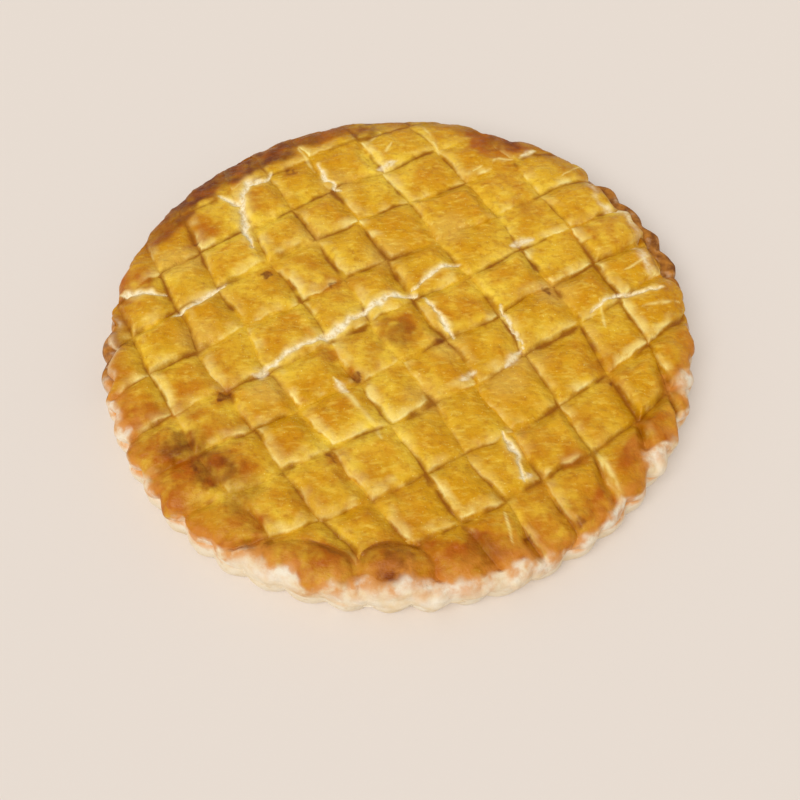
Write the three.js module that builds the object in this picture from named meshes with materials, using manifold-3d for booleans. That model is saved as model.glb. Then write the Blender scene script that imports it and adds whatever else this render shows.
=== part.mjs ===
// A round apple pie turned out of its fluted tin: a solid pastry case under a lid
// woven from flat dough strips.
// Millimetres, +Z up. The origin is the middle of the flat base, and -Y is the pie's front.
import * as THREE from "three";
import { mergeVertices } from "three/addons/utils/BufferGeometryUtils.js";
import Module from "manifold-3d";

// Case: the wall flares from its foot to the widest ring, then rounds over into a
// shoulder under the lid.
const footRadius = 126;
const footBevel = 1.2;
const wallRadius = 130;
const wallHeight = 9.2;
const bedHeight = 15.4;
const bedRings = [128.8, 123, 112];
const fluteCount = 50;
const fluteDepth = 2.4;
const pointsPerFlute = 4;
const fluteFadeRadius = 122;

// Shoulder: the top falls away towards the rim as a quarter of an ellipse.
const shoulderStart = 106;
const shoulderReach = 24.5;
const shoulderFall = 8.5;
const steepestShare = 0.99;

// Lid: two sets of strips at right angles, each passing over and under the other set in turn.
// The layers lie looser where they turn down towards the rim.
const latticeTurn = THREE.MathUtils.degToRad(27.9);
const stripThickness = 3.4;
const layerGap = 0.5;
const bedGap = 0.5;
const rimLooseness = 0.3;
const edgeRounding = 1.1;
const flatShare = 0.45;
const stripBow = 1e-5;
const stripFan = 6.6e-4;
const lidRadius = 129;
const endOverhang = 1;
const longestReach = 145;

// A strip is laid in shorter steps wherever a straight step would miss the shoulder by more.
const shoulderMiss = 0.22;

// Each square of the weave puffs up by its own amount, between these two heights.
const lowestCrown = 0.4;
const highestCrown = 1.5;

// Each strip's distance from the pie's middle and its width, in order across the pie.
const acrossStrips = [
  { offset: -110.5, width: 17.5 },
  { offset: -86.8, width: 21 },
  { offset: -60.3, width: 22.3 },
  { offset: -34.2, width: 20.4 },
  { offset: -9.3, width: 20.2 },
  { offset: 16.3, width: 21.4 },
  { offset: 42.9, width: 22.3 },
  { offset: 68.3, width: 19.1 },
  { offset: 93, width: 20.8 },
  { offset: 115, width: 14 },
];
const downStrips = [
  { offset: -114.5, width: 14.6 },
  { offset: -93.4, width: 18.4 },
  { offset: -71, width: 17 },
  { offset: -46.6, width: 22.2 },
  { offset: -22.7, width: 16.2 },
  { offset: -0.7, width: 18.4 },
  { offset: 24.3, width: 22.4 },
  { offset: 52.4, width: 24.2 },
  { offset: 79.4, width: 20.2 },
  { offset: 104, width: 19.5 },
];

const caseColour = 0xe2bd88;
const acrossColour = 0xd9952f;
const downColour = 0xdc9d38;
const bareRoughness = 0.85;
const glazedRoughness = 0.45;

const wasm = await Module();
wasm.setup();

const { clamp, lerp } = THREE.MathUtils;

// How far the pie's top lies below its flat middle at a distance from the axis.
function shoulderDrop(radius) {
  const share = clamp((radius - shoulderStart) / shoulderReach, 0, steepestShare);
  return shoulderFall * (1 - Math.sqrt(1 - share * share));
}

// One scallop of the tin: 0 on a crest, 1 in the cusp between two crests.
function fluteDip(angle) {
  return 1 - Math.abs(Math.cos((angle * fluteCount) / 2));
}

// How much a square of the weave puffs up, uneven from one square to the next.
function crownOf(own, other) {
  const wave = Math.sin(own * 12.99 + other * 78.23) * 43758.5;
  return lerp(lowestCrown, highestCrown, wave - Math.floor(wave));
}

function bareSolid(geometry) {
  geometry.deleteAttribute("normal");
  geometry.deleteAttribute("uv");
  return mergeVertices(geometry, 1e-3);
}

function toManifold(geometry) {
  const mesh = new wasm.Mesh({
    numProp: 3,
    vertProperties: geometry.attributes.position.array,
    triVerts: new Uint32Array(geometry.index.array),
  });
  return new wasm.Manifold(mesh);
}

function toGeometry(manifold) {
  const mesh = manifold.getMesh();
  const geometry = new THREE.BufferGeometry();
  geometry.setAttribute("position", new THREE.BufferAttribute(mesh.vertProperties, 3));
  geometry.setIndex(new THREE.BufferAttribute(mesh.triVerts, 1));
  geometry.computeVertexNormals();
  return geometry;
}

// The case is a turned profile whose outer rings are pressed into flutes, fading out under the lid.
function caseGeometry() {
  const profile = [
    new THREE.Vector2(0, 0),
    new THREE.Vector2(footRadius - footBevel, 0),
    new THREE.Vector2(footRadius, footBevel),
    new THREE.Vector2(wallRadius, wallHeight),
  ];
  for (const radius of bedRings) {
    profile.push(new THREE.Vector2(radius, bedHeight - shoulderDrop(radius)));
  }
  profile.push(new THREE.Vector2(0, bedHeight));
  const turned = new THREE.LatheGeometry(profile, fluteCount * pointsPerFlute);
  turned.rotateX(Math.PI / 2);
  const place = turned.attributes.position;
  const fullFluteRadius = footRadius - footBevel;
  for (let i = 0; i < place.count; i++) {
    const x = place.getX(i);
    const y = place.getY(i);
    const radius = Math.hypot(x, y);
    const share = clamp((radius - fluteFadeRadius) / (fullFluteRadius - fluteFadeRadius), 0, 1);
    if (share === 0) continue;
    const fluted = radius - fluteDepth * share * fluteDip(Math.atan2(y, x));
    place.setXY(i, (x * fluted) / radius, (y * fluted) / radius);
  }
  const solid = bareSolid(turned);
  solid.computeVertexNormals();
  return solid;
}

// From lattice distances to a place on the pie. The down strips fan out towards the back,
// and strips away from the middle bow inwards towards their ends.
function onPie(overAcross, overDown) {
  const p = overAcross * (1 + stripFan * overDown - stripBow * overDown * overDown);
  const q = overDown * (1 - stripBow * overAcross * overAcross);
  return new THREE.Vector2(p, q).rotateAround(new THREE.Vector2(), latticeTurn);
}

// A place on a strip, from its distance along the strip and its distance from the pie's middle.
function onStrip(isDown, along, sideways) {
  return isDown ? onPie(sideways, along) : onPie(along, sideways);
}

// The across strip lies on top where the two strips' numbers add up to an odd number,
// the down strip everywhere else.
function liesOver(isDown, own, other) {
  return ((own + other) % 2 === 1) !== isDown;
}

// How far a strip has to run from its middle before all four of its corners pass the rim.
function reachOf(isDown, { offset, width }) {
  const edges = [offset - width / 2, offset + width / 2];
  const isShort = (reach) =>
    edges.some((edge) =>
      [-reach, reach].some((end) => onStrip(isDown, end, edge).length() < lidRadius + endOverhang),
    );
  let reach = 0;
  while (reach < longestReach && isShort(reach)) reach += 1;
  return reach;
}

// Where a strip's height changes: both edges of every strip it crosses, and the crown
// between them where it lies over.
function crossingStations(isDown, own, crossed) {
  const stations = [];
  crossed.forEach((strip, other) => {
    const layer = liesOver(isDown, own, other) ? 1 : 0;
    const half = strip.width / 2;
    stations.push({ at: strip.offset - half, layer, crown: 0 });
    if (layer) stations.push({ at: strip.offset, layer, crown: crownOf(own, other) });
    stations.push({ at: strip.offset + half, layer, crown: 0 });
  });
  return stations;
}

// Halves a step along a strip until both edges of the strip follow the shoulder closely enough.
function splitStep(from, to, dropsAt) {
  const middle = {
    at: lerp(from.at, to.at, 0.5),
    layer: lerp(from.layer, to.layer, 0.5),
    crown: lerp(from.crown, to.crown, 0.5),
  };
  const before = dropsAt(from.at);
  const after = dropsAt(to.at);
  const missAt = (drop, edge) => Math.abs(drop - lerp(before[edge], after[edge], 0.5));
  if (Math.max(...dropsAt(middle.at).map(missAt)) < shoulderMiss) return [to];
  return [...splitStep(from, middle, dropsAt), ...splitStep(middle, to, dropsAt)];
}

// The stations from one end of a strip to the other.
function stripStations(isDown, own, strips, crossed) {
  const { offset, width } = strips[own];
  const reach = reachOf(isDown, strips[own]);
  const isInside = (station) => Math.abs(station.at) < reach - endOverhang;
  const inside = crossingStations(isDown, own, crossed).filter(isInside);
  const first = { ...inside[0], at: -reach };
  const last = { ...inside[inside.length - 1], at: reach };
  const coarse = [first, ...inside, last];
  const edges = [offset - width / 2, offset + width / 2];
  const dropsAt = (along) => edges.map((edge) => shoulderDrop(onStrip(isDown, along, edge).length()));
  const stations = [first];
  for (let i = 1; i < coarse.length; i++) {
    stations.push(...splitStep(coarse[i - 1], coarse[i], dropsAt));
  }
  return isDown ? stations.reverse() : stations;
}

// One dough strip: a long box laid along its stations in four rows, with rounded edges,
// cut off at the rim.
function stripGeometry(isDown, own, strips, crossed, rim) {
  const { offset, width } = strips[own];
  const stations = stripStations(isDown, own, strips, crossed);
  const rows = [-1, -flatShare, flatShare, 1];
  const box = new THREE.BoxGeometry(1, 1, 1, stations.length - 1, rows.length - 1, 1);
  const place = box.attributes.position;
  for (let i = 0; i < place.count; i++) {
    const station = stations[Math.round((place.getX(i) + 0.5) * (stations.length - 1))];
    const row = rows[Math.round((place.getY(i) + 0.5) * (rows.length - 1))];
    const isTop = place.getZ(i) > 0;
    const isEdge = Math.abs(row) === 1;
    const spot = onStrip(isDown, station.at, offset + (row * width) / 2);
    const drop = shoulderDrop(spot.length());
    const slack = 1 + rimLooseness * drop;
    const underside = bedHeight + bedGap * slack + station.layer * (stripThickness + layerGap * slack);
    const thickness = stripThickness + (isEdge ? -edgeRounding : station.crown);
    place.setXYZ(i, spot.x, spot.y, underside - drop + (isTop ? thickness : 0));
  }
  return toGeometry(toManifold(bareSolid(box)).intersect(rim));
}

// The strip ends are trimmed to the tin's rim, with a point on every crest and in every cusp.
function rimSolid() {
  const outline = [];
  for (let i = 0; i < fluteCount * 2; i++) {
    const angle = (i * Math.PI) / fluteCount;
    const radius = lidRadius - fluteDepth * fluteDip(angle);
    outline.push(new THREE.Vector2(radius * Math.cos(angle), radius * Math.sin(angle)));
  }
  const tall = { depth: 3 * bedHeight, bevelEnabled: false };
  return toManifold(bareSolid(new THREE.ExtrudeGeometry(new THREE.Shape(outline), tall)));
}

const pie = new THREE.Group();
pie.name = "apple_pie";

function addPart(name, geometry, color, roughness) {
  const material = new THREE.MeshStandardMaterial({ color, roughness, metalness: 0 });
  const mesh = new THREE.Mesh(geometry, material);
  mesh.name = name;
  pie.add(mesh);
}

const rim = rimSolid();
addPart("pastry_case", caseGeometry(), caseColour, bareRoughness);
for (let own = 0; own < acrossStrips.length; own++) {
  const geometry = stripGeometry(false, own, acrossStrips, downStrips, rim);
  addPart(`strip_across_${own + 1}`, geometry, acrossColour, glazedRoughness);
}
for (let own = 0; own < downStrips.length; own++) {
  const geometry = stripGeometry(true, own, downStrips, acrossStrips, rim);
  addPart(`strip_down_${own + 1}`, geometry, downColour, glazedRoughness);
}

export default pie;
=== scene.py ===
import math
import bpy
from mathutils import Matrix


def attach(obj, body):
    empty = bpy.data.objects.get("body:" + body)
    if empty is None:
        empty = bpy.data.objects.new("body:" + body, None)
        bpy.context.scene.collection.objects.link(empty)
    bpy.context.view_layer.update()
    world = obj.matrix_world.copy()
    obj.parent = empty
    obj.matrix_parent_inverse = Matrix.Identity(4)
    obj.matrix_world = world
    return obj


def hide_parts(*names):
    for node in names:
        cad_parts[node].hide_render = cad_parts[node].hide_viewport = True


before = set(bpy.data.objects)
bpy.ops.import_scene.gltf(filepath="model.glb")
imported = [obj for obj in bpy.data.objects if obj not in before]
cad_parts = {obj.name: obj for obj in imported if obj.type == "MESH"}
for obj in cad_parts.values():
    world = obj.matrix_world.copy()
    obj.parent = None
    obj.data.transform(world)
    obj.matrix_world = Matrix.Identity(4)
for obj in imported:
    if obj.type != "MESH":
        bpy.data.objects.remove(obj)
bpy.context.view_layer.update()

from types import SimpleNamespace

import bpy
import numpy as np
from mathutils import Matrix, Vector

mm = 0.001  # shapes are worked out in millimetres

rim = {
    "radius": 129,
    "flutes": 50,
    "fluteDepth": 2.8,
    "shoulderStart": 106.0,  # the top falls away from here
    "shoulderReach": 24.5,
    "shoulderFall": 8.5,
    "upright": 1.54,      # how steep a strip end hangs, in radians
    "ledge": 5.0,         # how far the lid stops short
    "ledges": [(1.0, 2, 44), (0.7, 174, 198)],  # how much of that, from and to which direction
    "ledgeFade": 7,       # degrees
    # depth, direction and half width: pieces broken off the back, and where the wash stops early
    "notches": [(4.5, 65, 5.5), (2.6, 88, 6)],
    "bites": [(8, -38, 3.5), (9, -20.5, 4.5), (7, -158, 5), (3, -86, 4), (5, -119, 3)],
    # all the rest by direction, in degrees from the right
    "at": [-180, -170, -160, -150, -135, -120, -105, -90, -75, -60, -45,
           -30, -15, 0, 30, 60, 85, 100, 120, 145, 165, 180],
    # where the lid folds down, and how wide the fold is
    "turnAt": [125.5, 125, 124.6, 124.3, 124, 123.6, 123.4, 123.3, 123.4, 123.6, 124,
               124.5, 125, 125.6] + [126] * 7 + [125.5],
    "bend": [4.6, 5.2, 5.8, 6.2, 6.8, 7.4, 8, 8, 8, 7.4, 6.8, 6.2, 5.4, 4.6] + [4] * 6 + [4.2, 4.6],
    # how far the strips and the wash run, measured on the flat lid
    "run": [131, 134, 136, 137, 138.5, 140, 141, 141, 141, 140, 138.5,
            137, 134, 131, 130] + [132.5] * 6 + [131],
    "washed": [128, 127.5, 126, 127, 128, 125, 123, 121.5, 122, 125, 126.5,
               128, 127.5, 130] + [134] * 6 + [132, 129],
    # how much the strip ends follow the flutes, how far the flutes are turned, how far the foot spreads
    "scallop": [1.5, 1.7, 1.7, 1.6, 1.3, 0.8, 0.5, 0.5, 0.5, 0.9, 1.4,
                1.6, 1.6, 1.5, 1.1, 0.6, 0.4, 0.3, 0.4, 0.6, 0.9, 1.3],
    "shift": [2, 2, 1.6, 1.5, -0.2, -0.7, -0.2, 0.4, -0.6, 0.3, 0.5,
              -1.6, -1.8, -1.9, -1.1, -0.5, 0, 0.3, 0.8, 1.4, 1.8, 2],
    "spread": [0, 0, 0.3, 1, 2, 2.2, 1.4, 1, 1.2, 0.8, 0.8, 0.3] + [0] * 10,
    # how brown the edge is, from which distance, and how scorched
    "baked": [0.6, 0.5, 0.4, 0.45, 0.6, 0.6, 0.6, 0.7, 0.6, 0.45, 0.45,
              0.4, 0.3, 0.4, 0.5, 0.6, 0.5, 0.8, 1, 1, 0.3, 0.6],
    "bakedFrom": [114, 112, 110, 108, 106, 104, 103, 103, 105, 106, 107,
                  108, 110, 113, 113, 111, 112, 109, 108, 107, 110, 114],
    "dark": [0.2, 0.1, 0, 0.15, 0.05, 0.1, 0.1, 0.2, 0, 0, 0.1,
             0.15, 0.1, 0.1, 0.15, 0.35, 0.35, 0.5, 1, 1, 0, 0.2],
}

weave = {
    "turn": 27.9,         # the across strips rise to the right
    "bow": 1e-5,          # strips curve in towards their ends
    "fan": 6.6e-4,        # down strips spread towards the back
    "acrossSeams": [-136.5, -99.7, -73.9, -46.8, -21.7, 3.2, 29.3, 56.4, 80.2, 105.7, 126.5],
    "downSeams": [-133, -104.4, -81.3, -59.6, -32.6, -11.8, 11.3, 38.4, 67.4, 92.4, 121],
    "top": 22.4,          # height of the lid's middle
    "thickness": 3.2,
    "dive": 2.0,          # depth of the furrows between the squares
    # the sides of a square, back ones first
    "inset": (-1.0, -0.5, -1.0, -0.5),  # how far they stay from the furrow
    "soft": (7.0, 3.4, 7.0, 3.4),  # how wide they slope
    "reach": 0.9,         # how far they go past their seams
    "lap": 0.5,           # how far the strips overlap their neighbours
    "tuck": 3.0,          # how much deeper a strip lies where it is under
    "drawnIn": 12,        # the last part of a strip, fitted to the rim
    "grid": 0.68,         # mesh step
    "creaseAngle": 50,    # degrees, sharper edges stay sharp
}

# rows of bumps in the dough: how much, size and seed, for wander also the next seed
dough = {
    "wander": [(1.6, 19, 41), (0.6, 7, 43)],
    "wavyEdge": [(0.6, 9, 45), (0.15, 3.2, 46)],
    "drips": [(4.2, 12, 20), (2.6, 5, 21)],
    "fineDrips": [(0.7, 2.2, 22)],
    "grain": [(0.35, 9, 5), (0.2, 3.6, 6), (0.08, 1.8, 7)],
    "flakes": [(1, 8, 8), (0.6, 3, 9)],
    "frontLumps": [(0.9, 11, 27), (0.5, 4.5, 28)],
    "shade": [(1.1, 15, 71), (0.5, 4, 72)],
}

# splits in the crust: half width, then points on the pie
cracks = [
    (1.6, [(-59, -28), (-42, -14), (-29, -8), (-17, 1), (-3, 10), (9, 11)]),
    (1.7, [(-57, 89), (-61, 84), (-69, 83), (-71, 76), (-70, 69), (-69, 55), (-64, 42)]),
    (0.9, [(-82, 75), (-70, 69)]),
    (1.2, [(40, -61), (45, -71), (46, -84)]),
    (1.0, [(84, -2), (93, 5), (107, 8), (117, 10)]),
    (1.0, [(7, 14), (20, 25), (29, 28)]),
    (0.9, [(12, 10), (19, -3), (24, -13)]),
    (0.7, [(45, 2), (53, -21)]),
    (1.1, [(-35, 94), (-31, 84), (-25, 76)]),
    (1.3, [(-97, 5), (-86, 14), (-75, 22)]),
    (1.3, [(-123, 20), (-113, 19), (-103, 18)]),
]

# thin pale creases
creases = [
    (0.9, [(106, -1), (115, 1), (123, 2)]),
    (0.7, [(101, 19), (115, 28)]),
    (1.6, [(-27, -32), (-19, -43), (-11, -55), (-8, -62)]),
    (0.7, [(38, -96), (40, -110)]),
    (0.8, [(-14, 105), (-4, 115)]),
    (0.8, [(-5, 95), (1, 107)]),
    (1.0, [(17, 119), (24, 98)]),
    (1.0, [(39, 84), (51, 92), (59, 92)]),
    (1.2, [(71, 99), (62, 93)]),
    (1.0, [(-45, 107), (-37, 91)]),
    (0.7, [(80, 79), (94, 90)]),
    (0.8, [(88, 4), (89, -12)]),
    (1.3, [(75, -69), (79, -77), (82, -84), (84, -90)]),
]

# pale crumbs where the dough has pulled apart at a corner
crumbs = [
    (1.5, [(-6, 90), (3, 93)]),
    (1.7, [(53, 38), (63, 41)]),
    (1.6, [(25, -36), (32, -31)]),
    (1.5, [(45, -28), (51, -21)]),
    (1.8, [(-62, -27), (-55, -27)]),
    (1.3, [(-27, -33), (-22, -39)]),
    (1.2, [(70, 98), (63, 95)]),
    (1.7, [(44, -83), (49, -80)]),
]

# drops of caramel: how strong, size, then places on the pie
caramels = [
    (1.0, 2.0, [(-57, 26), (-73, -38), (-18, -31), (66, -102)]),
    (0.8, 1.7, [(-28, 20), (-28, -69), (87, -40), (46, -107), (18, -13), (66, 11), (-91, 47), (-83, -71),
                (-48, 91)]),
]

# likewise where the wash is thin, where the crust is browner, and where it is scorched
thinWashes = [
    (1.0, 9, [(10, -42), (44, -37), (-55, -36), (21, -16), (-37, 49), (-93, 38), (-86, -7), (55, -24),
              (-5, 36), (70, 9), (-25, 80), (-100, 35), (26, 49)]),
]
browns = [
    (1.0, 10, [(-76, -70), (-90, -60), (58, 104), (49, 104), (-4, -114), (30, -113), (-66, -71), (-88, -76),
               (-117, 24)]),
    (0.8, 8, [(-74, -55), (-87, -46), (0, -10), (2, -7), (52, 97), (-80, 93), (-102, -46), (-89, 53),
              (66, -75), (-25, -17), (95, 43), (-30, -112), (13, -112), (105, -62), (75, -95), (92, -72)]),
    (0.45, 9, [(65, -77), (55, -90), (-91, 60), (-20, 17), (-49, 31), (-22, -20), (-6, -24), (82, 44),
               (-20, -74), (-39, 22), (-46, -68), (90, -30), (63, 62), (98, 46), (-59, -92), (-35, -90),
               (28, -104), (42, -98), (-8, -88), (-78, 86), (-108, 58), (-51, -113), (-84, -41), (-75, -28),
               (-69, -56), (0, -96), (50, -65), (78, -61), (-69, 71), (55, 82)]),
]
scorches = [
    (0.85, 8, [(-88, -61), (-77, -70), (-70, -74), (-5, -117), (60, 105), (53, 107), (61, 111), (-12, 119),
               (-80, 90), (-64, 100), (-124, -7)]),
    (0.45, 8, [(0, -10), (29, -113), (-4, -112), (-63, -84), (-82, -66)]),
]


def smooth(x):
    x = np.clip(x, 0, 1)
    return x * x * (3 - 2 * x)


def lumps(x, y, cell, seed):  # soft bumps between -1 and 1
    table = np.random.RandomState(seed).uniform(-1, 1, (64, 64))
    u, w = x / cell, y / cell
    i, j = np.floor(u).astype(int), np.floor(w).astype(int)
    fu, fw = smooth(u - i), smooth(w - j)
    low = table[i % 64, j % 64] * (1 - fu) + table[(i + 1) % 64, j % 64] * fu
    high = table[i % 64, (j + 1) % 64] * (1 - fu) + table[(i + 1) % 64, (j + 1) % 64] * fu
    return low * (1 - fw) + high * fw


def bumps(x, y, key):
    return sum(much * lumps(x, y, cell, seed) for much, cell, seed in dough[key])


def nearLine(x, y, width, line):  # distance to a drawn line that thins out at its ends, 1 at its edge
    best, share = np.full(x.shape, 1e3), np.zeros(x.shape)
    for k, ((x0, y0), (x1, y1)) in enumerate(zip(line, line[1:])):
        dx, dy = x1 - x0, y1 - y0
        t = np.clip(((x - x0) * dx + (y - y0) * dy) / (dx * dx + dy * dy), 0, 1)
        d = np.hypot(x - x0 - t * dx, y - y0 - t * dy)
        share = np.where(d < best, (k + t) / (len(line) - 1), share)
        best = np.minimum(best, d)
    return best / (width * (0.35 + 0.65 * np.sin(math.pi * share) ** 0.7))


def spots(x, y, groups):
    best = np.zeros(x.shape)
    for much, size, places in groups:
        for px, py in places:
            best = np.maximum(best, much * smooth(1.4 - np.hypot(x - px, y - py) / size))
    return best


def byDirection(key, angle):
    return np.interp(np.degrees(angle), rim["at"], rim[key])


def fluteDip(angle):
    return 1 - np.abs(np.cos((angle - np.radians(byDirection("shift", angle))) * rim["flutes"] / 2))


def around(angle, cell, seed):  # bumps along the rim
    return lumps(rim["radius"] * np.cos(angle), rim["radius"] * np.sin(angle), cell, seed)


def ledgeAt(angle):
    deg, fade = np.degrees(angle) % 360, rim["ledgeFade"]
    return sum(much * smooth((deg - low) / fade) * smooth((high - deg) / fade)
               for much, low, high in rim["ledges"])


def shortAt(angle):  # how far the lid stops short of the rim
    gone = sum(deep * np.exp(-((np.degrees(angle) - at) / half) ** 4) for deep, at, half in rim["notches"])
    return rim["ledge"] * ledgeAt(angle) + gone


def washedAt(angle):
    early = sum(deep * np.exp(-((np.degrees(angle) - at) / half) ** 2) for deep, at, half in rim["bites"])
    return byDirection("washed", angle) - early


def shoulder(r):  # how far the top has fallen, and its slope
    share = np.clip((r - rim["shoulderStart"]) / rim["shoulderReach"], 0, 0.99)
    steep = rim["shoulderFall"] / rim["shoulderReach"] * share / np.sqrt(1 - share * share)
    return rim["shoulderFall"] * (1 - np.sqrt(1 - share * share)), np.arctan(steep)


def drape(rho, angle, rise):  # folds the flat lid over the rim
    bend = byDirection("bend", angle)
    start = byDirection("turnAt", angle) - shortAt(angle)
    fall, lean = shoulder(np.minimum(rho, start))
    past, upright = np.clip(rho - start, 0, None), rim["upright"]
    full = np.minimum(lean + past / bend, upright)
    rest = np.clip(past - bend * (upright - lean), 0, None)
    r = np.minimum(rho, start) + bend * (np.sin(full) - np.sin(lean)) + rest * math.cos(upright)
    z = weave["top"] - fall - bend * (np.cos(lean) - np.cos(full)) - rest * math.sin(upright)
    r, z = r + rise * np.sin(full), z + rise * np.cos(full)
    deep = rim["fluteDepth"] * byDirection("scallop", angle) * smooth((rho - start + 2) / (1.7 * bend))
    return r - deep * fluteDip(angle), z


def endRadius(angle):  # where the strips end, measured on the flat lid
    edge = byDirection("run", angle) - shortAt(angle) + around(angle, 6, 63)
    return edge - 0.5 * rim["fluteDepth"] * byDirection("scallop", angle) * fluteDip(angle)


def onPie(a, b):
    p = a * (1 + weave["fan"] * b - weave["bow"] * b * b)
    q = b * (1 - weave["bow"] * a * a)
    turn = math.radians(weave["turn"])
    return p * math.cos(turn) - q * math.sin(turn), p * math.sin(turn) + q * math.cos(turn)


def onStrip(isDown, along, sideways):
    return onPie(sideways, along) if isDown else onPie(along, sideways)


def points(mesh):
    co = np.empty(len(mesh.vertices) * 3, dtype=np.float32)
    mesh.vertices.foreach_get("co", co)
    return co.reshape(-1, 3).astype(float)


def setPoints(mesh, co):
    mesh.vertices.foreach_set("co", np.ascontiguousarray(co, dtype=np.float32).ravel())
    mesh.update()


def paint(mesh, name, values):
    layer = mesh.attributes.new(name, "FLOAT", "POINT")
    layer.data.foreach_set("value", np.ascontiguousarray(values, dtype=np.float32))


def startSlab(name, stepsX, stepsY):  # a flat slab of fine squares, top and underside
    bpy.ops.object.select_all(action="DESELECT")
    bpy.ops.mesh.primitive_grid_add(x_subdivisions=stepsX, y_subdivisions=stepsY, size=2, location=(0, 0, 0))
    slab = bpy.context.object
    slab.name = slab.data.name = name
    bpy.ops.object.mode_set(mode="EDIT")
    bpy.ops.mesh.select_all(action="SELECT")
    bpy.ops.mesh.extrude_region_move(TRANSFORM_OT_translate={"value": (0, 0, -1)})
    bpy.ops.mesh.select_all(action="SELECT")
    bpy.ops.mesh.normals_make_consistent(inside=False)
    bpy.ops.object.mode_set(mode="OBJECT")
    return slab


def reachAt(isDown, sideways, sign):  # how far each row runs before it passes the rim
    low, high = np.zeros(sideways.shape), np.full(sideways.shape, 150.0)
    for _ in range(24):
        mid = (low + high) / 2
        x, y = onStrip(isDown, sign * mid, sideways)
        inside = np.hypot(x, y) < endRadius(np.arctan2(y, x))
        low, high = np.where(inside, mid, low), np.where(inside, high, mid)
    return sign * low


# puffy strip ends: direction, distance from the middle, half length and half depth
lobes = [(-108, 121, 17.5, 10), (-92, 118, 14, 11)]
cells = np.random.RandomState(21).uniform(0, 1, (10, 10, 13))  # how each square differs


def placeStrip(isDown, own):  # a strip's points, laid flat on the pie
    seams = weave["downSeams" if isDown else "acrossSeams"]
    offset, half = (seams[own] + seams[own + 1]) / 2, (seams[own + 1] - seams[own]) / 2 + weave["lap"]
    node = ("strip_down_" if isDown else "strip_across_") + str(own + 1)
    inmost = np.array([min(abs(seams[own]), abs(seams[own + 1])) * np.sign(offset)])
    run = max(abs(reachAt(isDown, inmost, sign)[0]) for sign in (-1, 1))
    strip = startSlab(node + "_baked", int(2 * run / weave["grid"]), int(2 * half / weave["grid"]) + 2)
    co = points(strip.data)
    side = offset + co[:, 1] * half
    along = run * co[:, 0] * (-1 if isDown else 1)  # down strips run the other way, to keep their tops up
    limit = np.where(along > 0, reachAt(isDown, side, 1), -reachAt(isDown, side, -1))
    even = np.maximum(limit - weave["drawnIn"], 0.6 * limit)
    late = np.clip(np.abs(along) - even, 0, None) / np.maximum(run - even, 1)
    s = np.sign(along) * (np.minimum(np.abs(along), even) + np.minimum(late, 1) * (limit - even))
    x, y = onStrip(isDown, s, side)
    toEnd = endRadius(np.arctan2(y, x)) - np.hypot(x, y)
    if own in (0, 9):
        toEnd = np.minimum(toEnd, side - seams[0] if own == 0 else seams[10] - side)
    loose = 1 - smooth((np.hypot(x, y) - 116) / 8)
    for much, cell, seed in dough["wander"]:
        x, y = x + much * loose * lumps(x, y, cell, seed), y + much * loose * lumps(x, y, cell, seed + 1)
    return SimpleNamespace(
        strip=strip, node=node, isDown=isDown, own=own, offset=offset, half=half, isTop=co[:, 2] > -0.5,
        s=s, side=side, x=x, y=y, rho=np.hypot(x, y), angle=np.arctan2(y, x), toEnd=toEnd, loose=loose)


def washStrip(p):  # how far each point lies past the egg wash, and how bare it is
    flat = (rim["radius"] + (p.rho - rim["radius"]) / 3) / np.maximum(p.rho, 1)
    drips = bumps(p.x * flat, p.y * flat, "drips") + bumps(p.x, p.y, "fineDrips")
    p.past = p.rho + drips - washedAt(p.angle)
    p.bare = smooth(p.past / (2 + 5 * np.abs(lumps(p.x, p.y, 8, 23))))


def furrowStrip(p):  # how deep the furrows are
    deg = np.degrees(p.angle)
    p.front = np.clip((byDirection("bend", p.angle) - 4.6) / 3, 0, 1)
    p.sunk = smooth((deg - 35) / 20) * smooth((172 - deg) / 15) * smooth((p.rho - 100) / 14)  # flat back edge
    fused = np.clip(0.8 + 0.5 * lumps(p.x, p.y, 23, 47) - 0.25 * smooth((p.y - 30) / 60), 0.2, 1.3)
    fused = fused * (1 - 0.85 * p.sunk)  # squares have baked together in places
    deeper = 1 + 0.4 * smooth((p.rho - 92) / 14) + 0.7 * p.front * smooth((p.rho - 106) / 8)
    p.furrow = weave["dive"] * fused * (1 - 0.85 * p.bare) * deeper


def puffyEnds(p):  # 1 at the edge of a puffy end, how far inside, and how high it swells
    lobe = np.full(p.s.shape, 9.0)
    for at, far, length, depth in lobes:
        inward = np.where(p.rho < far, (p.rho - far) / depth, 0.3 * (p.rho - far) / depth)
        lobe = np.minimum(lobe, np.hypot(np.radians(np.degrees(p.angle) - at) * p.rho / length, inward))
    lobe += 0.12 * lumps(p.x, p.y, 9, 81)
    inLobe = smooth((1.25 - lobe) / 0.35) * (1 - smooth((p.rho - 126) / 8))
    return lobe, inLobe, 2.4 * np.sqrt(np.clip(1.05 - lobe * lobe, 0, 1)) - 1.5


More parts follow.
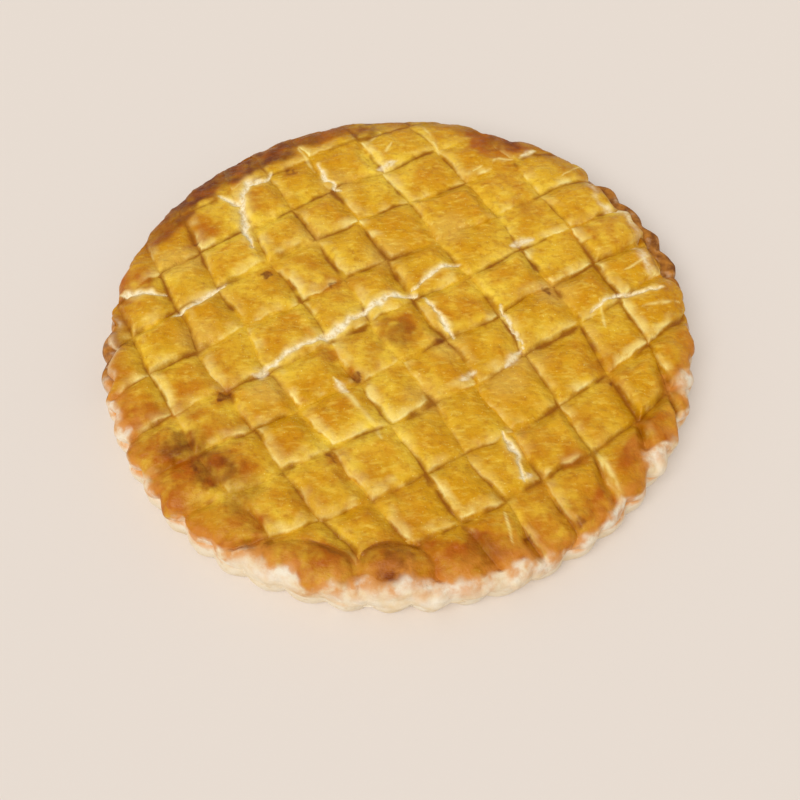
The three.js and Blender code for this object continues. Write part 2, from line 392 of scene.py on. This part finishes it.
def weaveStrip(p):  # over and under the crossing strips
    seams = weave["downSeams" if p.isDown else "acrossSeams"]
    crossed = weave["acrossSeams" if p.isDown else "downSeams"]
    lobe, inLobe, swollen = puffyEnds(p)
    wavy = bumps(p.x, p.y, "wavyEdge")
    farOff, none = np.full(p.s.shape, 50.0), np.zeros(p.s.shape)
    fromLeft = p.side - seams[p.own] if p.own > 0 else farOff
    fromRight = seams[p.own + 1] - p.side if p.own < 9 else farOff
    p.nearFront, p.nearBack = none - 3, none - 3
    p.rise, p.lit, p.middle = none, none, none
    for j in range(10):
        low, high = crossed[j], crossed[j + 1]
        isOver = ((p.own + j) % 2 == 1) != p.isDown
        grow = weave["reach"] if isOver else -weave["reach"]
        here = ((p.s >= low - grow) | (j == 0)) & ((p.s < high + grow) | (j == 9))
        fromLow = farOff if j == 0 else p.s - low
        fromHigh = farOff if j == 9 else high - p.s
        if not isOver:
            tuck = weave["tuck"] * smooth(np.minimum(fromLow, fromHigh) / 4) * (1 - smooth((p.rho - 122) / 5))
            p.rise = np.where(here, -p.furrow - 0.15 - tuck, p.rise)
            continue
        cell = cells[j, p.own] if p.isDown else cells[p.own, j]
        inset = np.array(weave["inset"]) + (1.0, 1.3, 1.0, 1.3) * cell[:4]
        skew = 1.6 * (cell[9:13] - 0.5)
        v, c = (p.side - p.offset) / p.half, np.clip((2 * p.s - low - high) / (high - low), -1.5, 1.5)
        gaps = np.array([fromHigh - inset[0] - skew[0] * v, fromLow - inset[1] - skew[1] * v,
                         fromRight - inset[2] - skew[2] * c, fromLeft - inset[3] - skew[3] * c]) + wavy
        soft = np.array(weave["soft"])[:, None] * (0.8 + 0.5 * cell[4])
        share = np.clip(1 - (np.clip(1 - gaps / soft, 0, None) ** 4).sum(axis=0) ** 0.25, 0, 1)
        pad = 0.35 * share * (2 - share) + 0.65 * smooth(share)
        within = gaps.min(axis=0)
        puff = 1.4 * (cell[6] - 0.5) * pad + (0.2 + 0.9 * cell[5]) * smooth(within / 12)
        up = p.furrow * pad - p.furrow + puff * (1 - 0.9 * p.sunk)
        p.rise = np.where(here, up + (swollen - up) * inLobe, p.rise)
        edge = np.array([9 * (1 - lobe), 9 + none, 9 * (1 - lobe), 9 + none])
        gaps = gaps + (edge - gaps) * smooth(2 * inLobe)
        p.nearFront = np.where(here, np.minimum(gaps[1], gaps[3]), p.nearFront)
        p.nearBack = np.where(here, np.minimum(gaps[0], gaps[2]), p.nearBack)
        p.lit = np.where(here, np.where(gaps[1] < gaps[3], cell[3], cell[8]), p.lit)
        p.middle = np.where(here, (0.3 + 0.7 * cell[7]) * smooth((within - 1) / 6), p.middle)


def roughenStrip(p):  # grain, flakes and lumps
    flake = bumps(p.x, p.y, "flakes")
    grain = bumps(p.x, p.y, "grain")
    grain += 0.22 * smooth((flake - 0.15) / 0.12) - 0.18 * smooth((-flake - 0.5) / 0.12)
    p.rise = p.rise + grain * (1 - 0.4 * p.bare)
    p.rise += bumps(p.x, p.y, "frontLumps") * smooth((p.rho - 106) / 10) * p.front


def splitStrip(p):  # splits whose lips stand up a little, pale creases and crumbs
    x, y = p.x, p.y
    p.split, p.halo, p.crumb = np.zeros(p.s.shape), np.zeros(p.s.shape), np.zeros(p.s.shape)
    ragX, ragY = x + 1.1 * lumps(x, y, 3, 11), y + 1.1 * lumps(x, y, 3, 12)
    for width, line in cracks:
        d = nearLine(ragX, ragY, width * (1 + 0.4 * lumps(x, y, 5, 13)), line)
        p.split = np.maximum(p.split, np.exp(-d ** 4))
        p.halo = np.maximum(p.halo, np.exp(-(d / 1.9) ** 2))
        p.rise += 0.2 * np.exp(-((d - 1.9) / 0.7) ** 2)
    p.rise -= (0.8 + 0.4 * lumps(x, y, 2.2, 16)) * p.split
    p.thinWash = spots(ragX, ragY, thinWashes)
    p.halo = np.maximum(p.halo, 0.2 * p.thinWash)
    for width, line in creases:
        thread = nearLine(x + 0.5 * lumps(x, y, 4, 73), y + 0.5 * lumps(x, y, 4, 75), 0.8 * width, line)
        p.halo = np.maximum(p.halo, np.exp(-thread ** 2) * smooth(0.75 + 0.8 * lumps(x, y, 3, 74)))
    for width, line in crumbs:
        d = nearLine(ragX, ragY, width * (1 + 0.5 * lumps(x, y, 3, 17)), line)
        p.crumb = np.maximum(p.crumb, 0.8 * np.exp(-d ** 2))
    torn = np.exp(-((p.toEnd - 5.5 + 1.6 * lumps(x, y, 4, 18)) / 1.7) ** 2)
    torn = torn * smooth(0.9 + 1.1 * lumps(x, y, 9, 19))
    p.crumb = np.maximum(p.crumb, 0.65 * torn * smooth(1.6 * ledgeAt(p.angle)))


def foldStrip(p):  # thin ends, laid over the rim
    draped = smooth((byDirection("run", p.angle) - 131) / 6)
    thin = smooth(1 - p.toEnd / (3.5 + 2.5 * draped))
    top = p.rise * (1 - thin) - (1.4 + 0.6 * draped) * thin
    r, z = drape(p.rho, p.angle, np.where(p.isTop, top, -weave["thickness"] - 4 * p.loose))
    setPoints(p.strip.data, np.column_stack([r * np.cos(p.angle), r * np.sin(p.angle), z]) * mm)


def paintStrip(p):  # what the brush missed, and what the oven browned
    x, y = p.x, p.y
    missed = smooth(0.45 + 0.7 * lumps(x, y, 11, 51 + p.isDown) + 0.6 * lumps(x, y, 4, 53))
    ragX, ragY = x + 2 * lumps(x, y, 2.4, 14), y + 2 * lumps(x, y, 2.4, 15)
    burntX, burntY = ragX + 3 * lumps(x, y, 8, 62), ragY + 3 * lumps(x, y, 8, 64)
    edgeBake = smooth((p.rho - byDirection("bakedFrom", p.angle) + 4 * lumps(x, y, 9, 61)) / 10)
    baked = byDirection("baked", p.angle) * edgeBake + spots(burntX, burntY, browns)
    baked += 0.5 * spots(ragX, ragY, [(1, 5, places) for _, _, places in caramels])
    baked += 0.45 * np.exp(-(p.past / 3.5) ** 2)
    dark = byDirection("dark", p.angle) * smooth((edgeBake - 0.3) / 0.6)
    dark = np.maximum(dark, spots(burntX, burntY, scorches))
    looks = {
        "nearFront": p.nearFront,
        "nearBack": p.nearBack,
        "halo": p.halo,
        # how strong the painted furrow shade and the pooled wash are
        "grooveShadeAndPool": smooth(0.6 + bumps(x, y, "shade")) * (1 - p.bare),
        "pad": p.middle * (1 - 0.85 * np.clip(p.thinWash, 0, 1)),
        "bake": np.clip(baked, 0, 1),
        "dark": dark,
        "lit": (0.25 + 1.1 * p.lit) * missed * (1 - 0.9 * np.clip(1.3 * dark + 0.5 * baked, 0, 1)),
        "rust": np.exp(-((p.past - 2) / 7) ** 2),
        "bare": p.bare,
        "crumb": np.maximum(p.split, p.crumb),
        "caramel": 0.9 * smooth((spots(ragX, ragY, caramels) - 0.1) / 0.9),
    }
    for name, values in looks.items():
        paint(p.strip.data, name, values)


def layStrip(isDown, own):
    p = placeStrip(isDown, own)
    for step in (washStrip, furrowStrip, weaveStrip, roughenStrip, splitStrip, foldStrip, paintStrip):
        step(p)
    return p.strip, p.node


def rgb(red, green, blue):  # from screen values
    shares = [c / 255 for c in (red, green, blue)]
    return [((c + 0.055) / 1.055) ** 2.4 if c > 0.04 else c / 12.92 for c in shares] + [1]


class Nodes:
    def __init__(self, name):
        self.mat = bpy.data.materials.new(name)
        self.mat.use_nodes = True
        self.tree = self.mat.node_tree
        self.shader = self.tree.nodes["Principled BSDF"]
        self.coord = self.tree.nodes.new("ShaderNodeTexCoord").outputs["Object"]

    def link(self, a, b):
        self.tree.links.new(a, b)

    def attribute(self, name):
        node = self.tree.nodes.new("ShaderNodeAttribute")
        node.attribute_name = name
        return node.outputs["Fac"]

    def noise(self, size, detail=3, turn=0.0, stretch=(1, 1, 1)):
        place = self.tree.nodes.new("ShaderNodeMapping")
        place.inputs["Rotation"].default_value = (0, 0, turn)
        place.inputs["Scale"].default_value = stretch
        self.link(self.coord, place.inputs["Vector"])
        node = self.tree.nodes.new("ShaderNodeTexNoise")
        node.inputs["Scale"].default_value = 1 / (size * mm)
        node.inputs["Detail"].default_value = detail
        self.link(place.outputs["Vector"], node.inputs["Vector"])
        return node.outputs["Fac"]

    def ramp(self, value, low, high, start=0.0, end=1.0):
        node = self.tree.nodes.new("ShaderNodeMapRange")
        for socket, number in zip(("From Min", "From Max", "To Min", "To Max"), (low, high, start, end)):
            node.inputs[socket].default_value = number
        self.link(value, node.inputs["Value"])
        return node.outputs["Result"]

    def math(self, kind, a, b):
        node = self.tree.nodes.new("ShaderNodeMath")
        node.operation = kind
        for socket, value in zip(node.inputs, (a, b)):
            if isinstance(value, (int, float)):
                socket.default_value = value
            else:
                self.link(value, socket)
        return node.outputs["Value"]

    def mix(self, factor, a, b):
        node = self.tree.nodes.new("ShaderNodeMix")
        node.data_type = "RGBA"
        self.link(factor, node.inputs["Factor"])
        for key, value in (("A", a), ("B", b)):
            socket = [i for i in node.inputs if i.name == key and i.type == "RGBA"][0]
            if isinstance(value, list):
                socket.default_value = value
            else:
                self.link(value, socket)
        return [o for o in node.outputs if o.type == "RGBA"][0]

    def bump(self, height, strength, distance, before=None):
        node = self.tree.nodes.new("ShaderNodeBump")
        node.inputs["Strength"].default_value = strength
        node.inputs["Distance"].default_value = distance * mm
        self.link(height, node.inputs["Height"])
        if before:
            self.link(before, node.inputs["Normal"])
        return node.outputs["Normal"]


glazeLook = {
    "light": rgb(240, 201, 60),
    "amber": rgb(211, 155, 18),
    "patches": rgb(207, 149, 14),
    "middles": rgb(199, 125, 4),  # of the squares
    "freckles": rgb(168, 94, 0),
    "streaks": rgb(248, 216, 92),
    "glints": rgb(254, 232, 136),
    "baked": rgb(176, 92, 4),
    "scorched": rgb(112, 50, 0),
    "edges": rgb(250, 228, 140),  # pale cut side of a square that faces the front, and a painted highlight on the slope that faces the front
    # painted shade in the furrows, with egg wash pooled and browned there
    "furrows": rgb(144, 82, 0),
    "caramel": rgb(112, 52, 8),
    "crumb": (rgb(246, 232, 194), rgb(216, 186, 128)),
    "bare": (rgb(232, 220, 198), rgb(226, 202, 162)),
    "washEnd": rgb(206, 132, 50),
    "shine": 0.15,
    "roughness": (0.26, 0.44),
    "dryRoughness": 0.4,  # added where it is dry
}


def glaze(name, turn):
    n, look = Nodes(name), glazeLook
    colour = n.mix(n.ramp(n.noise(34, 3), 0.38, 0.62), look["light"], look["amber"])
    colour = n.mix(n.ramp(n.noise(9, 4), 0.42, 0.66, 0, 0.85), colour, look["patches"])
    pad = n.math("MULTIPLY", n.attribute("pad"), n.ramp(n.noise(8, 4), 0.28, 0.66, 0, 0.85))
    colour = n.mix(pad, colour, look["middles"])
    colour = n.mix(n.ramp(n.noise(2.4, 5), 0.5, 0.76, 0, 0.5), colour, look["freckles"])
    streak = n.ramp(n.noise(1.8, 4, turn, (0.4, 1, 1)), 0.53, 0.72, 0, 0.38)
    colour = n.mix(streak, colour, look["streaks"])
    colour = n.mix(n.ramp(n.noise(0.9, 2), 0.68, 0.74, 0, 0.5), colour, look["glints"])
    brown = n.math("MULTIPLY", n.attribute("bake"), n.ramp(n.noise(9, 4), 0.2, 0.6))
    colour = n.mix(brown, colour, look["baked"])
    dark = n.math("MULTIPLY", n.attribute("dark"), n.ramp(n.noise(7, 4), 0.1, 0.6))
    colour = n.mix(dark, colour, look["scorched"])
    jitter = n.ramp(n.noise(6, 4), 0.25, 0.75, -0.8, 0.8)
    front = n.math("ADD", n.attribute("nearFront"), jitter)
    back = n.math("ADD", n.attribute("nearBack"), jitter)
    nearest = n.math("MINIMUM", front, back)
    # pale cut sides of the squares that face the front, in a thin line, and a painted highlight on the slopes
    # that face the front, in a wider band
    thinLine = n.math("MULTIPLY", n.ramp(front, 0.5, 1.3), n.ramp(front, 1.6, 3, 1, 0))
    frontSlopeHighlight = n.math("MULTIPLY", n.ramp(front, 0.6, 2), n.ramp(front, 2.5, 6.5, 0.6, 0))
    pale = n.math("MULTIPLY", n.math("MAXIMUM", thinLine, frontSlopeHighlight), n.attribute("lit"))
    pale = n.math("MULTIPLY", pale, n.ramp(back, 0, 1.5))
    pale = n.math("MULTIPLY", pale, n.ramp(n.noise(4.5, 4), 0.3, 0.55, 0.35, 1))
    pale = n.math("MAXIMUM", pale, n.math("MULTIPLY", n.attribute("halo"), 0.75))
    colour = n.mix(n.math("MULTIPLY", pale, 0.92), colour, look["edges"])
    # painted shade in the furrows and on the slopes of the squares that face the back, with egg wash pooled
    # and browned in the furrows
    shadeAndPoolMask = n.math("MAXIMUM", n.ramp(back, 0, 4.5, 0.4, 0), n.ramp(nearest, -0.2, 2, 0.95, 0))
    colour = n.mix(n.math("MULTIPLY", shadeAndPoolMask, n.attribute("grooveShadeAndPool")), colour, look["furrows"])
    sticky = n.math("MULTIPLY", n.attribute("caramel"), n.ramp(n.noise(2.5, 3), 0.3, 0.6, 0.5, 1))
    colour = n.mix(sticky, colour, look["caramel"])
    crumbly = n.mix(n.ramp(n.noise(1.6, 3), 0.42, 0.7), *look["crumb"])
    colour = n.mix(n.attribute("crumb"), colour, crumbly)
    bare = n.mix(n.ramp(n.noise(7, 4), 0.35, 0.65), *look["bare"])
    colour = n.mix(n.attribute("bare"), colour, bare)
    rust = n.math("MULTIPLY", n.attribute("rust"), n.ramp(n.noise(5, 5), 0.36, 0.6, 0, 0.85))
    colour = n.mix(rust, colour, look["washEnd"])
    n.link(colour, n.shader.inputs["Base Color"])
    n.shader.inputs["Specular IOR Level"].default_value = look["shine"]
    rough = n.ramp(n.noise(6, 4), 0.3, 0.7, *look["roughness"])
    dry = n.math("MAXIMUM", n.attribute("bare"), n.attribute("crumb"))
    dry = n.math("MULTIPLY", dry, look["dryRoughness"])
    n.link(n.math("ADD", rough, dry), n.shader.inputs["Roughness"])
    fine = n.bump(n.noise(1.0, 4), 0.65, 0.45)
    n.link(n.bump(n.noise(2.8, 5, turn, (0.3, 1, 1)), 0.6, 0.8, fine), n.shader.inputs["Normal"])
    return n.mat


crustLook = {
    "dough": (rgb(232, 220, 198), rgb(226, 204, 166)),
    "freckles": rgb(208, 172, 120),
    "stain": rgb(214, 140, 52),  # wash that ran down
    "baked": (rgb(184, 118, 36), rgb(120, 66, 12)),
    "roughness": 0.8,
    "shine": 0.3,
}


def crust(name):
    n, look = Nodes(name), crustLook
    colour = n.mix(n.ramp(n.noise(9, 4), 0.35, 0.7), *look["dough"])
    colour = n.mix(n.ramp(n.noise(2.5, 4), 0.55, 0.75, 0, 0.5), colour, look["freckles"])
    stain = n.math("MULTIPLY", n.attribute("stain"), n.ramp(n.noise(5, 4), 0.35, 0.6))
    colour = n.mix(stain, colour, look["stain"])
    brown = n.math("MULTIPLY", n.attribute("bake"), n.ramp(n.noise(6, 4), 0.2, 0.5))
    burnt = n.mix(n.ramp(n.noise(4, 4), 0.35, 0.65), *look["baked"])
    colour = n.mix(brown, colour, burnt)
    n.link(colour, n.shader.inputs["Base Color"])
    n.shader.inputs["Roughness"].default_value = look["roughness"]
    n.shader.inputs["Specular IOR Level"].default_value = look["shine"]
    n.link(n.bump(n.noise(1.6, 5), 0.5, 0.5), n.shader.inputs["Normal"])
    return n.mat


caseShape = {
    "perFlute": 14,       # mesh steps
    # radius and height of each ring, from the foot to the bed under the lid
    "rings": [(125, 0), (125.6, 0.4), (126, 1.4), (126.8, 3.5), (127.6, 6), (128.1, 8), (128.3, 9.5),
              (128.2, 10.8), (127.6, 11.8), (126.4, 12.8), (124.6, 13.8), (122.5, 14.6), (119, 15.4),
              (114, 16), (106, 16.4), (90, 16.6)],
    "ledgeRise": [0, 0, 0, 0, 0, 0.3, 1.2, 2.6, 3.8, 4.2, 3.8, 2.2, 0.5, 0, 0, 0],  # of each ring
    "ledgeReach": 1.8,    # how much further out the ledge stands
}


def makeCase():
    bpy.ops.object.select_all(action="DESELECT")
    steps, foot = rim["flutes"] * caseShape["perFlute"], caseShape["rings"][0][0]
    bpy.ops.mesh.primitive_circle_add(vertices=steps, radius=foot, fill_type="NGON", location=(0, 0, 0))
    case = bpy.context.object
    case.name = case.data.name = "pastry_case_baked"
    bpy.ops.object.mode_set(mode="EDIT")
    bpy.ops.mesh.select_all(action="SELECT")
    for k, (radius, height) in enumerate(caseShape["rings"][1:]):
        r0, z0 = caseShape["rings"][k]
        bpy.ops.mesh.extrude_region_move(TRANSFORM_OT_translate={"value": (0, 0, height - z0)})
        scale = radius / r0
        bpy.ops.transform.resize(value=(scale, scale, 1), center_override=(0, 0, 0))
    bpy.ops.mesh.select_all(action="SELECT")
    bpy.ops.mesh.normals_make_consistent(inside=False)
    bpy.ops.object.mode_set(mode="OBJECT")
    mesh = case.data
    co = points(mesh)
    r, angle, z = np.hypot(co[:, 0], co[:, 1]), np.arctan2(co[:, 1], co[:, 0]), co[:, 2]
    radii = np.array([ring[0] for ring in caseShape["rings"]])
    heights = np.array([ring[1] for ring in caseShape["rings"]])
    ring = np.argmin(np.abs(r[:, None] - radii) + np.abs(z[:, None] - heights), axis=1)
    height, ledge = heights[ring], ledgeAt(angle)
    pressed, top = smooth((r - 119) / 6), smooth((height - 7) / 4)
    rough = 0.3 * lumps(rim["radius"] * angle, 2 * z, 3, 32) * smooth((3 - np.abs(angle)) / 0.2)
    rough = 0.45 * around(angle, 8, 31) + rough
    broken = shortAt(angle) - rim["ledge"] * ledge
    spread = byDirection("spread", angle) * smooth((12 - height) / 9)
    r = r + (caseShape["ledgeReach"] * ledge + spread) * pressed
    r = r - (rim["fluteDepth"] * fluteDip(angle) - rough + broken) * pressed
    z = z + np.array(caseShape["ledgeRise"])[ring] * ledge + 0.5 * around(angle, 5, 33) * top
    setPoints(mesh, np.column_stack([r * np.cos(angle), r * np.sin(angle), z]) * mm)
    back = smooth((np.degrees(angle) + 15) / 20) * smooth((195 - np.degrees(angle)) / 20)
    ledgeBrown = smooth(1.3 * ledge + 0.3 * around(angle, 9, 34) - 0.2) * smooth((height - 3) / 6)
    paint(mesh, "bake", np.maximum(0.6 * back * top, ledgeBrown))
    paint(mesh, "stain", smooth((height - 9) / 4))
    return case


# lay the strips, then the case under them
acrossGlaze = glaze("glazed_across", math.radians(-weave["turn"]))
downGlaze = glaze("glazed_down", math.radians(90 - weave["turn"]))
caseCrust = crust("bare_crust")
for isDown in (False, True):
    for own in range(10):
        strip, node = layStrip(isDown, own)
        strip.data.materials.append(downGlaze if isDown else acrossGlaze)
        bpy.ops.object.shade_smooth_by_angle(angle=math.radians(weave["creaseAngle"]))
        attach(strip, "root")
        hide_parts(node)
print("strips woven")

case = makeCase()
case.data.materials.append(caseCrust)
bpy.ops.object.shade_smooth()
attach(case, "root")
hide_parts("pastry_case")
print("case baked")

studio = {
    "floor": rgb(226, 216, 207),
    "floorSize": 8,       # metres
    "floorRoughness": 0.9,
    "sky": rgb(255, 252, 248),
    "skyStrength": 0.58,
    "sunFrom": (-0.45, -0.75, 1.1),
    "sunPower": 1.9,
    "sunSpread": 45.0,    # degrees, soft shadows
}

bpy.ops.object.select_all(action="DESELECT")
bpy.ops.mesh.primitive_plane_add(size=studio["floorSize"], location=(0, 0, 0))
floor = bpy.context.object
floor.name = "studio_floor"
floorLook = bpy.data.materials.new("pale_floor")
floorLook.use_nodes = True
floorShader = floorLook.node_tree.nodes["Principled BSDF"]
floorShader.inputs["Base Color"].default_value = studio["floor"]
floorShader.inputs["Roughness"].default_value = studio["floorRoughness"]
floor.data.materials.append(floorLook)

sky = bpy.data.worlds.new("studio_sky")
bpy.context.scene.world = sky
sky.use_nodes = True
background = sky.node_tree.nodes["Background"]
background.inputs["Color"].default_value = studio["sky"]
background.inputs["Strength"].default_value = studio["skyStrength"]

bpy.ops.object.light_add(type="SUN", location=studio["sunFrom"])
sun = bpy.context.object
sun.data.angle = math.radians(studio["sunSpread"])
sun.data.energy = studio["sunPower"]
sun.rotation_euler = Vector(studio["sunFrom"]).to_track_quat("Z", "Y").to_euler()

view = {
    "lens": 45.0,         # millimetres
    "sensor": 36,
    "lift": 57.0,         # degrees above the horizon
    "roll": -2.37,
    "distance": 435.3,
    "target": (-0.15, -29.3, 0),
}
lift = math.radians(view["lift"])
spot = np.array(view["target"]) + view["distance"] * np.array([0, -math.cos(lift), math.sin(lift)])
bpy.ops.object.camera_add(location=tuple(spot * mm))
camera = bpy.context.object
camera.data.lens = view["lens"]
camera.data.sensor_width = view["sensor"]
tilt = Matrix.Rotation(math.radians(90) - lift, 3, "X")
roll = Matrix.Rotation(math.radians(view["roll"]), 3, "Z")
camera.rotation_euler = (tilt @ roll).to_euler()
bpy.context.scene.camera = camera
bpy.context.scene.view_settings.view_transform = "Standard"
print("light and camera set")
